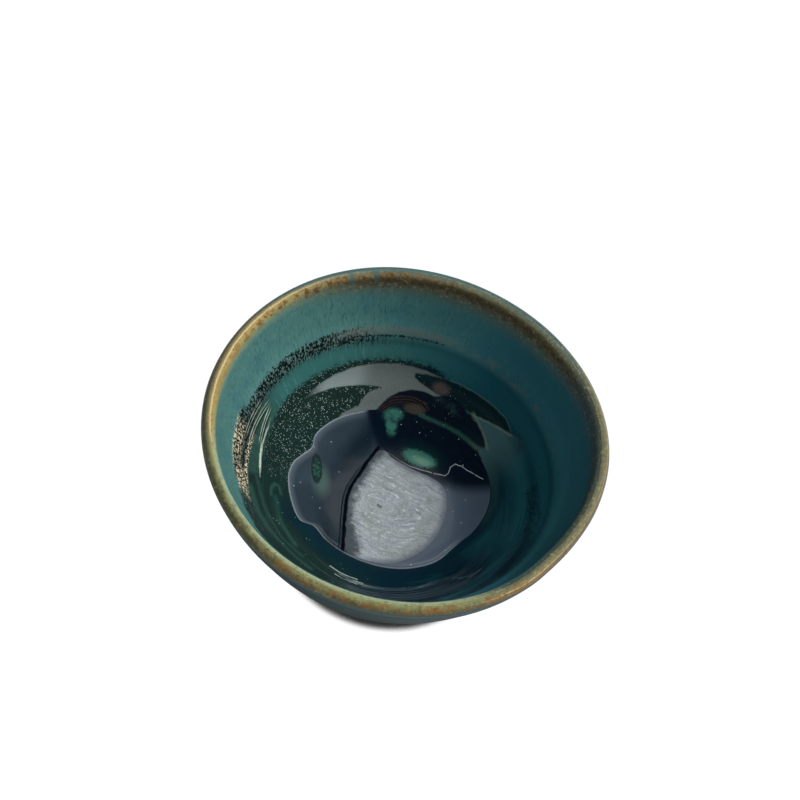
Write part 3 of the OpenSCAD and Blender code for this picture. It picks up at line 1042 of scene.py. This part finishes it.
def far_marks(colour, at, grain):
    """The painted grey reflection of a bright sky in crescents, the dark leaf and the navy part that lie on
    the far lower wall.
    """
    # Grey crescents of painted reflection, cut by a dark tongue
    sky_reflection = at.disc((-1.4, 6), 32.9) * at.y.smooth(12, 16)
    sky_reflection = sky_reflection * at.x.smooth(20, 14) * at.x.smooth(-30.5, -24.5)
    tongue = at.disc((-4.9, 1.4), 32.2) * (1 - at.disc((-7.8, 26), 7.1)) * at.x.smooth(-9.2, -9.8)
    tail = (at.away((-4.3, 10.4)) - 19.4).absolute().smooth(0.8, 0.3) * at.x.between(-19.3, -10, 0.8)
    sky_reflection = sky_reflection * (1 - tongue).most(tail * at.y.over(12))
    grey = Paint(REFLECTION_GREY).lay(at.x.smooth(4, 15), REFLECTION_TEAL)
    grey.lay(at.x.smooth(-12, -18) * at.radius.smooth(34.5, 36), REFLECTION_LIGHT)
    grey.lay(grain.smooth(0.5, 0.7) * 0.25, REFLECTION_LIGHT)
    colour.lay(sky_reflection, grey)

    leaf_top = at.away((1.8, 1.1)) - 37.1 + at.x.smooth(27, 30.2) * 0.9
    above = at.above(LEAF_LOW)
    leaf = leaf_top.smooth(0.2, -0.2) * above.smooth(-0.2, 0.2) * at.x.between(-0.9, 30, 0.3)
    dark = Paint(LEAF_DARK).lay(at.specks(1.8, 0.26, 0.14) * at.x.smooth(20, 10) * 0.5, SPECK)
    blot = at.oval((7.4, 36), -12, 2.8, 1.2) + grain - 0.5
    dark.lay(blot.smooth(1.3, 0.5) * 0.75, LEAF_BROWN)
    colour.lay(leaf, dark)
    colour.lay(leaf_top.between(0, 0.2, 0.15) * at.facing(58, 18, 5) * 0.4, LEAF_EDGE)

    wedge = above.smooth(0.2, -0.2) * at.x.smooth(17, 18) * at.radius.smooth(40.5, 37)
    colour.lay(wedge * at.past(18, 48) * 0.85, WEDGE)
    colour.lay(dark_well(at), well_marks(at, grain))
    beside = (at.away(WELL_CENTRE) - WELL_RADIUS).between(-0.1, 0.4, 0.3)
    beside = beside * at.y.between(21.5, 31, 1) * at.x.smooth(17, 19)
    along = above.between(-0.5, 0, 0.2) * at.x.between(18.4, 30, 0.6)
    colour.lay(beside.most(along) * 0.65, RIM_GREEN)
    colour.lay(at.oval((18.6, 30), -50, 1.4, 0.6).smooth(1.4, 0.5) * 0.35, CORNER_GREEN)


def between_rings(at, left):
    """Deeper teal between the two rings."""
    colour = Paint(BAND_TEAL).lay(at.cosine.smooth(-0.4, 0.6), BAND_RIGHT)
    colour.lay(at.facing(32, 30, 16) * 0.6, BAND_SHADE)
    colour.lay(at.facing(-170, 28, 12) * 0.85, BAND_GREEN)
    return colour.lay(at.runs(60, 0.2, 2, 0.6).smooth(0.46, 0.3) * left * 0.3, WALL_PALE)


def below_rings(at, left, outside):
    """Dark glaze with swirls, below the lower ring."""
    swirl = at.runs(2.4, 0.75, 3, 0.55, 0.8)
    colour = Paint(NAVY_TEAL).lay(left, GREEN_BLACK)
    colour.lay(swirl.smooth(0.5, 0.7) * left * at.sine.smooth(0.25, -0.1) * 0.35, SWIRL_LEFT)
    # The small loop among the swirls is a painted reflection
    for path, width, strength in SWIRLS:
        colour.lay(at.stroke(path).smooth(width, 0) * strength, SWIRL_PALE)
    colour.lay(at.in_pool().smooth(-9, -2) * at.facing(-125, 34, 14) * 0.75, NAVY_TEAL)
    colour.lay(swirl.smooth(0.48, 0.7) * at.cosine.smooth(0.2, 0.6) * outside * 0.35, SWIRL_RIGHT)
    return colour.lay(at.stroke(RIGHT_HAZE).smooth(3.2, 0.2) * 0.85, HAZE)


def ran_dark(at, from_upper, from_lower, outside):
    """Where the glaze ran dark, as a mask, and the tail by which it rises at the left."""
    turned = from_lower + at.facing(-42, 22, 18) * 4
    turned = turned - at.facing(14, 10, 8) * 1.5 - at.facing(60, 18, 8) * 2.5
    dark = (turned + (at.cloud(1.35, 3, 0.7) - 0.5) * 6).smooth(-0.7, 0.5)
    dark = dark * (1 - at.facing(22, 42, 14) * outside * 0.6)
    dark = dark.most(at.facing(-95, 55, 12) * from_upper.smooth(2, 5))
    rise = at.facing(-136, 14, 22) * 13 - 9
    tail = (from_upper + rise + (at.runs(22, 0.25, 3, 0.7) - 0.5) * 5).smooth(-1.2, 1.2)
    tail = tail * at.facing(-125, 60, 8)
    return dark.most(tail), tail


def inner_finish():
    """Inside of the bowl: teal wall, speckled rings, dark glossy lower wall and the marks at the far side,
    with painted highlights and reflections among them.
    """
    material, at = new_finish("inner_teal", drift=0.4)
    colour, band = wall_colour(at)
    from_upper = at.depth - RING_DEPTH - ring_stray(at.turn, at.depth)
    from_lower = from_upper - RING_PITCH
    left = at.cosine.smooth(0.25, -0.45)
    outside = at.in_pool().smooth(-1.5, -5)
    grain = at.cloud(1.9, 2, 0.6)
    colour.lay(from_upper.smooth(0.2, 3.2), between_rings(at, left))
    dark, tail = ran_dark(at, from_upper, from_lower, outside)
    colour.lay(dark, below_rings(at, left, outside))
    rings_and_runs(colour, at, grain, from_upper)

    # Painted highlights in pale streaks at the near side
    gleam = at.runs(6, 0.9).smooth(0.3, 0.6)
    pale = Paint(FRONT_HIGHLIGHT_DIM).lay(at.x.smooth(4, -4), FRONT_HIGHLIGHT)
    for path, width, strength in FRONT_HIGHLIGHTS:
        colour.lay(at.stroke(path).smooth(width, 0) * gleam * strength, pale)

    # White specks, thick on the left
    many = at.facing(137, 41, 12) * from_lower.smooth(-0.8, 0.6)
    many = many.most(tail * at.facing(-148, 9, 6) * from_upper.smooth(6.5, 2.5) * 0.8)
    colour.lay(at.specks(2.3, 0.3, 0.55) * many * at.cloud(1.1).smooth(0.25, 0.5), SPECK)
    few = from_lower.smooth(0, 1) * left
    colour.lay(at.specks(1.1, 0.2, 0.12) * few * 0.6, SPECK)
    far_marks(colour, at, grain)
    rim = at.in_pool().between(-2.2, -0.3, 0.6) * at.facing(18, 16, 9)
    colour.lay(rim * 0.35, POOL_RIM)

    glossy = from_lower.smooth(-0.5, 1)
    roughness = 0.36 - glossy * 0.22 - band * 0.12
    bump = at.cloud(BUMP_SCALE, 3) * (1 - glossy)
    return gloss(material, colour, roughness, INNER_SHINE, bump, BUMP_STRENGTH)


SLATE = (48, 62, 72)
SLATE_VIOLET = (76, 90, 106)
SLATE_DEEP = (36, 44, 54)
SLATE_PALE = (100, 110, 118)
SLATE_NIGHT = (12, 30, 40)
SLATE_FRONT = (96, 108, 120)
EDGE_HIGHLIGHT = (150, 156, 166)
EYE_GLOW = (78, 102, 94)
EYE_DARK = (16, 32, 34)
IRIS_DARK = (22, 50, 44)
IRIS_GREEN = (46, 84, 70)
THREAD_PALE = (180, 190, 196)
POOL_LINE = (5, 9, 18)
# Dark line that crosses the pool and bounds the bloom, and the gap to the finer line beside it
LINE_GAP = 1.1
POOL_CRACK = (
    (-6.3, 18.7), (-7.7, 15.4), (-9.2, 11.3), (-10.4, 7.1), (-11.5, 3.7), (-11.9, 0.2),
    (-11.6, -3.5), (-11.1, -7.5), (-10.5, -11.5), (-9.6, -17.8),
)
# Thin pale line that crosses the pool at the edge of its navy part
THREAD = (
    (-6, 18.7), (-2.5, 17.1), (0.5, 15.8), (3.6, 14.8), (6.9, 14.4), (10.6, 14.1), (14.2, 14.1),
    (15, 15.2), (15.2, 17), (16.3, 18.1), (18.2, 17.6), (20.2, 16.4), (23, 14.9), (24.9, 13.8),
)


def pool_finish():
    """Glossy slate pool, its colour partly painted reflection of a bright sky, with a painted highlight along
    its edge, a green eye, a dark double line and the navy part behind.
    """
    material, at = new_finish("pool_slate", drift=0.4)
    inside = at.in_pool()
    fine = at.cloud(0.9)
    colour = Paint(SLATE).lay(at.cloud(0.08, 3).smooth(0.35, 0.7) * 0.6, SLATE_DEEP)
    colour.lay(at.x.smooth(0, 14) * 0.8, SLATE_VIOLET)
    # Lighter towards the left and the front edge, as painted reflection
    colour.lay(inside.smooth(2.6, 0) * at.facing(170, 58, 18) * 0.6, SLATE_PALE)
    colour.lay(inside.smooth(6, 0.5) * at.facing(-80, 50, 20) * 0.5, SLATE_FRONT)
    from_line = at.stroke(POOL_CRACK) + (fine - 0.5) * 0.4
    colour.lay(from_line.smooth(10, 4.5) * at.x.smooth(-6, -10) * 0.85, SLATE_NIGHT)
    glow = at.oval((-20.2, 3), -76, 6, 3).smooth(1.25, 0.2)
    colour.lay(glow * 0.7, EYE_GLOW)
    eye = at.oval((-22.2, 6), -77, 4.3, 1.5) + (at.cloud(1.2) - 0.5) * 0.35
    colour.lay(eye.smooth(1.2, 0.95) * 0.85, EYE_DARK)
    iris = Paint(IRIS_DARK).lay(at.cloud(1.4).smooth(0.42, 0.62), IRIS_GREEN)
    colour.lay(eye.smooth(0.95, 0.6) * 0.9, iris)

    beside = at.stroke([(x - LINE_GAP, y) for x, y in POOL_CRACK]).smooth(0.24, 0.08) * at.y.smooth(12, 8)
    double = from_line.smooth(0.65, 0.3).most(beside * 0.7)
    colour.lay(double, POOL_LINE)

    navy = at.right_of((-5.6, 17.4), (-12, 26.8)).smooth(-1.2, 1) * at.y.smooth(8, 13.2)
    colour.lay(navy, well_marks(at, fine))
    hair = at.stroke(THREAD).smooth(0.2, 0.04) * fine.smooth(0.26, 0.42) * at.x.smooth(-8, 12)
    colour.lay(hair * 0.75, THREAD_PALE)
    colour.lay(at.specks(0.7, 0.16, 0.12) * 0.55, SPECK)
    # Painted highlight along the pool's edge
    edge = at.facing(170, 62, 12).most(at.facing(-80, 55, 15) * 0.8)
    bright = inside.between(0.1, 0.45, 0.15) * edge * (1 - navy)
    colour.lay(bright * 0.6, EDGE_HIGHLIGHT)
    return gloss(material, colour, double * 0.7 + 0.2, POOL_SHINE)


PALE = (161, 169, 174)
PALE_WARM = (142, 150, 145)
PALE_DEEP = (114, 124, 129)
PALE_LIGHT = (196, 202, 202)
PALE_BRIGHT = (230, 234, 232)
BLOOM_GREY = (96, 103, 116)
LINE_SHADE = (40, 50, 58)
CORNER_SHADE = (64, 74, 82)
PIT = (60, 66, 70)
# Cosine and sine of the tilt of the bloom's strokes, which is 20 degrees
STROKE_COSINE = 0.94
STROKE_SINE = 0.342


def bloom_finish():
    """Pale crystals in sweeping strokes round the floor of the well."""
    material, at = new_finish("bloom_pale", drift=1.2)
    warp = (at.cloud(0.14) - 0.5) * 3.2
    across = at.x * STROKE_COSINE - at.y * STROKE_SINE + 1
    up = at.y * STROKE_COSINE + at.x * STROKE_SINE + 1 + warp
    bend = (up * up * 3 + across * across * up.smooth(5, -4)).root()
    strokes = noise(vector_of(across * 0.1, bend * 0.55, 0), 1, 4, 0.8, 0.3)
    fine = noise(vector_of(across * 0.4, bend * 1.6, 0), 1, 3, 0.7)
    mottle = at.cloud(0.5, 3, 0.7)
    grain = at.cloud(2.2, 2, 0.7)
    inset = by_direction(at.turn, BLOOM_REACH, MOST_BLOOM) - at.radius
    colour = Paint(PALE_DEEP).lay(strokes.smooth(0.26, 0.56), PALE)
    colour.lay(at.cloud(0.16).smooth(0.42, 0.62) * 0.6, PALE_WARM)
    colour.lay(grain.smooth(0.48, 0.34) * 0.35, PALE_DEEP)
    colour.lay(grain.smooth(0.54, 0.68) * 0.4, PALE_LIGHT)
    colour.lay(mottle.smooth(0.5, 0.3) * 0.35, PALE_DEEP)
    sparkle = (strokes * 0.55 + fine * 0.5).smooth(0.55, 0.66)
    colour.lay(sparkle * mottle.smooth(0.42, 0.58) * inset.smooth(1, 7), PALE_BRIGHT)
    pit = at.oval((-2.2, -0.6), -30, 1, 0.5).smooth(1.3, 0.6)
    colour.lay(pit * 0.7, PIT)
    soft = (inset + (mottle - 0.5) * 1.6).smooth(2.2, 0.2)
    colour.lay(soft * at.x.smooth(-6, 2) * 0.8, BLOOM_GREY)
    from_line = at.stroke(POOL_CRACK)
    shade = from_line + (mottle - 0.5) * 3 + (grain - 0.5) * 2 - at.y.smooth(-6, -15) * 2.2
    colour.lay(shade.smooth(4.2, 0.8) * 0.85, LINE_SHADE)
    colour.lay(at.disc((-5, 17.5), 2.5, 2.5) * 0.55, CORNER_SHADE)
    colour.lay(from_line.smooth(0.7, 0.4), POOL_LINE)
    return gloss(material, colour, 0.5, BLOOM_SHINE)


CLAY = (150, 124, 96)
CLAY_DARK = (122, 98, 74)
CLAY_PALE = (168, 140, 108)
IRON = (70, 50, 36)


def clay_finish():
    """Bare stoneware with turning marks and iron specks."""
    material, at = new_finish("bare_stoneware")
    marks = noise(vector_of(at.cosine * 0.6, at.sine * 0.6, at.z * 1.4 + at.radius * 1.1), 1, 3)
    colour = Paint(CLAY).lay(marks.smooth(0.35, 0.7) * 0.5, CLAY_DARK)
    colour.lay(at.cloud(0.12).smooth(0.4, 0.7) * 0.4, CLAY_PALE)
    colour.lay(at.specks(0.9, 0.25, 0.12) * 0.7, IRON)
    return gloss(material, colour, 0.85, bump=marks, strength=0.4)


THROWN = thrown_tree()
POOLED = lens_tree()

thrown_piece("clay_body", "stoneware_body", COAT_STEP, clay_finish())
thrown_piece("outer_coat", "outer_glaze", COAT_STEP, wall_finish("outer_teal", OUTER_SHINE))
thrown_piece("lip_band", "lip_glaze", LIP_STEP, wall_finish("lip_brown", LIP_SHINE))
inner_coat = thrown_piece(
    "inner_coat", "inner_glaze", FINE_STEP, inner_finish(),
    ring_relief=RING_RELIEF, ridge_relief=RIDGE_RELIEF,
)
pool = pooled_piece(
    "well_pool", "well_glaze", inner_coat, pool_finish(),
    POOL_DEPTH, POOL_EDGE, ripple=POOL_RIPPLE,
)
pooled_piece(
    "pale_bloom", "crystal_bloom", pool, bloom_finish(),
    BLOOM_RISE, BLOOM_EDGE, bloom_outline=1.0,
)


# Camera, from the photograph's view of the rim

IMAGE_SIZE = 800
FOCAL_PIXELS = 2000
SENSOR_WIDTH = 36
VIEW_ELEVATION = math.radians(55.287)
VIEW_ROLL = math.radians(13.101)
VIEW_DISTANCE = 9.7594 * LIP_RADIUS * MM
RIM_CENTRE_PIXEL = (406.19, 430.33)


def place_camera():
    back = Vector((0, -math.cos(VIEW_ELEVATION), math.sin(VIEW_ELEVATION)))
    level_up = Vector((0, math.sin(VIEW_ELEVATION), math.cos(VIEW_ELEVATION)))
    level_right = Vector((1, 0, 0))
    right = level_right * math.cos(VIEW_ROLL) + level_up * math.sin(VIEW_ROLL)
    up = level_up * math.cos(VIEW_ROLL) - level_right * math.sin(VIEW_ROLL)
    size_at_rim = VIEW_DISTANCE / FOCAL_PIXELS
    aside = (RIM_CENTRE_PIXEL[0] - IMAGE_SIZE / 2) * size_at_rim
    below = (RIM_CENTRE_PIXEL[1] - IMAGE_SIZE / 2) * size_at_rim
    rim_centre = Vector((0, 0, LIP_HEIGHT * MM))
    data = bpy.data.cameras.new("camera")
    data.sensor_width = SENSOR_WIDTH
    data.lens = FOCAL_PIXELS / IMAGE_SIZE * SENSOR_WIDTH
    data.clip_start = 0.01
    camera = bpy.data.objects.new("camera", data)
    camera.matrix_world = Matrix.Translation(
        rim_centre + back * VIEW_DISTANCE - right * aside + up * below
    ) @ Matrix((right, up, back)).transposed().to_4x4()
    bpy.context.scene.collection.objects.link(camera)
    bpy.context.scene.camera = camera


place_camera()


# Stage and light

# Height that the lamps are aimed at, in metres
LAMP_AIM = 0.03


def softbox(name, azimuth, elevation, distance, size, watts, mirrored):
    """A round soft light aimed at the bowl; mirrored says whether the glaze shows its reflection."""
    data = bpy.data.lights.new(name, "AREA")
    data.shape = "DISK"
    data.size = size
    data.energy = watts
    lamp = bpy.data.objects.new(name, data)
    turn, rise = math.radians(azimuth), math.radians(elevation)
    aim = Vector((0, 0, LAMP_AIM))
    way = Vector((math.cos(rise) * math.cos(turn), math.cos(rise) * math.sin(turn), math.sin(rise)))
    lamp.visible_glossy = mirrored
    lamp.location = aim + way * distance
    lamp.rotation_euler = way.to_track_quat("Z", "Y").to_euler()
    bpy.context.scene.collection.objects.link(lamp)


softbox("key_right", 25, 46, 0.9, 0.5, 8.5, mirrored=False)
softbox("fill_front", -100, 50, 1.0, 0.6, 3.0, mirrored=False)
softbox("glint_back", 90, 57, 0.9, 0.2, 0.6, mirrored=True)

# Sky and floor
SKY_TINT = (0.86, 0.94, 1.0, 1.0)
SKY_LIGHT = 0.06
FLOOR_HALF = 9.0
FLOOR_GREY = (0.6, 0.6, 0.6, 1.0)
# Contact shadow: its reach in metres, the openness where it starts and ends, its darkest tone, how much
# deeper it is on one side, and the places across the floor that this runs between
CONTACT_REACH = 0.010
CONTACT_SHADE = (0.63, 0.785)
CONTACT_DARK = 0.03
CONTACT_LEAN = 0.08
CONTACT_SIDES = (-30.0, 30.0)
# Radius of the opening in the floor that lights the foot from below, in millimetres
FOOT_HOLE = 25.0


def is_camera_ray(tree):
    return worked_out(tree, "ShaderNodeLightPath", {}, "Is Camera Ray")


def light_world():
    """A dim even sky for the light, which the camera sees bright where it looks past the floor."""
    world = bpy.data.worlds.new("studio")
    bpy.context.scene.world = world
    world.use_nodes = True
    tree = world.node_tree
    strength = is_camera_ray(tree) * (1.0 - SKY_LIGHT) + SKY_LIGHT
    feed_all(tree.nodes["Background"], {"Color": SKY_TINT, "Strength": strength})


def floor_finish():
    """A white that keeps the bowl's contact shadow, clear from below and under the foot."""
    material, at = new_finish("pale_floor")
    tree = material.node_tree

    def mixed(share, first, second):
        return worked_out(tree, "ShaderNodeMixShader", {0: share, 1: first, 2: second})

    plain = tree.nodes["Principled BSDF"]
    feed_all(plain, {"Base Color": FLOOR_GREY, "Roughness": 0.8})
    open_sky = worked_out(
        tree, "ShaderNodeAmbientOcclusion", {"Distance": CONTACT_REACH}, "AO", samples=32,
    )
    deeper = (at.x.smooth(*CONTACT_SIDES) - 0.5) * CONTACT_LEAN
    tone = (open_sky - deeper).smooth(*CONTACT_SHADE) + CONTACT_DARK
    lit = worked_out(tree, "ShaderNodeEmission", {"Color": vector_of(tone, tone, tone)})
    below = worked_out(tree, "ShaderNodeNewGeometry", {}, "Backfacing")
    opening = below.most(at.radius.smooth(FOOT_HOLE, FOOT_HOLE - 1.0))
    seen = mixed(is_camera_ray(tree), Wire(tree, plain.outputs[0]), lit)
    whole = mixed(opening, seen, worked_out(tree, "ShaderNodeBsdfTransparent", {}))
    feed(tree.nodes["Material Output"].inputs["Surface"], whole)
    return material


def lay_floor():
    corners = [(x * FLOOR_HALF, y * FLOOR_HALF, 0) for x, y in ((-1, -1), (1, -1), (1, 1), (-1, 1))]
    mesh = bpy.data.meshes.new("floor")
    mesh.from_pydata(corners, [], [(0, 1, 2, 3)])
    mesh.materials.append(floor_finish())
    floor = bpy.data.objects.new("floor", mesh)
    bpy.context.scene.collection.objects.link(floor)


light_world()
lay_floor()

bpy.context.scene.view_settings.view_transform = "Standard"
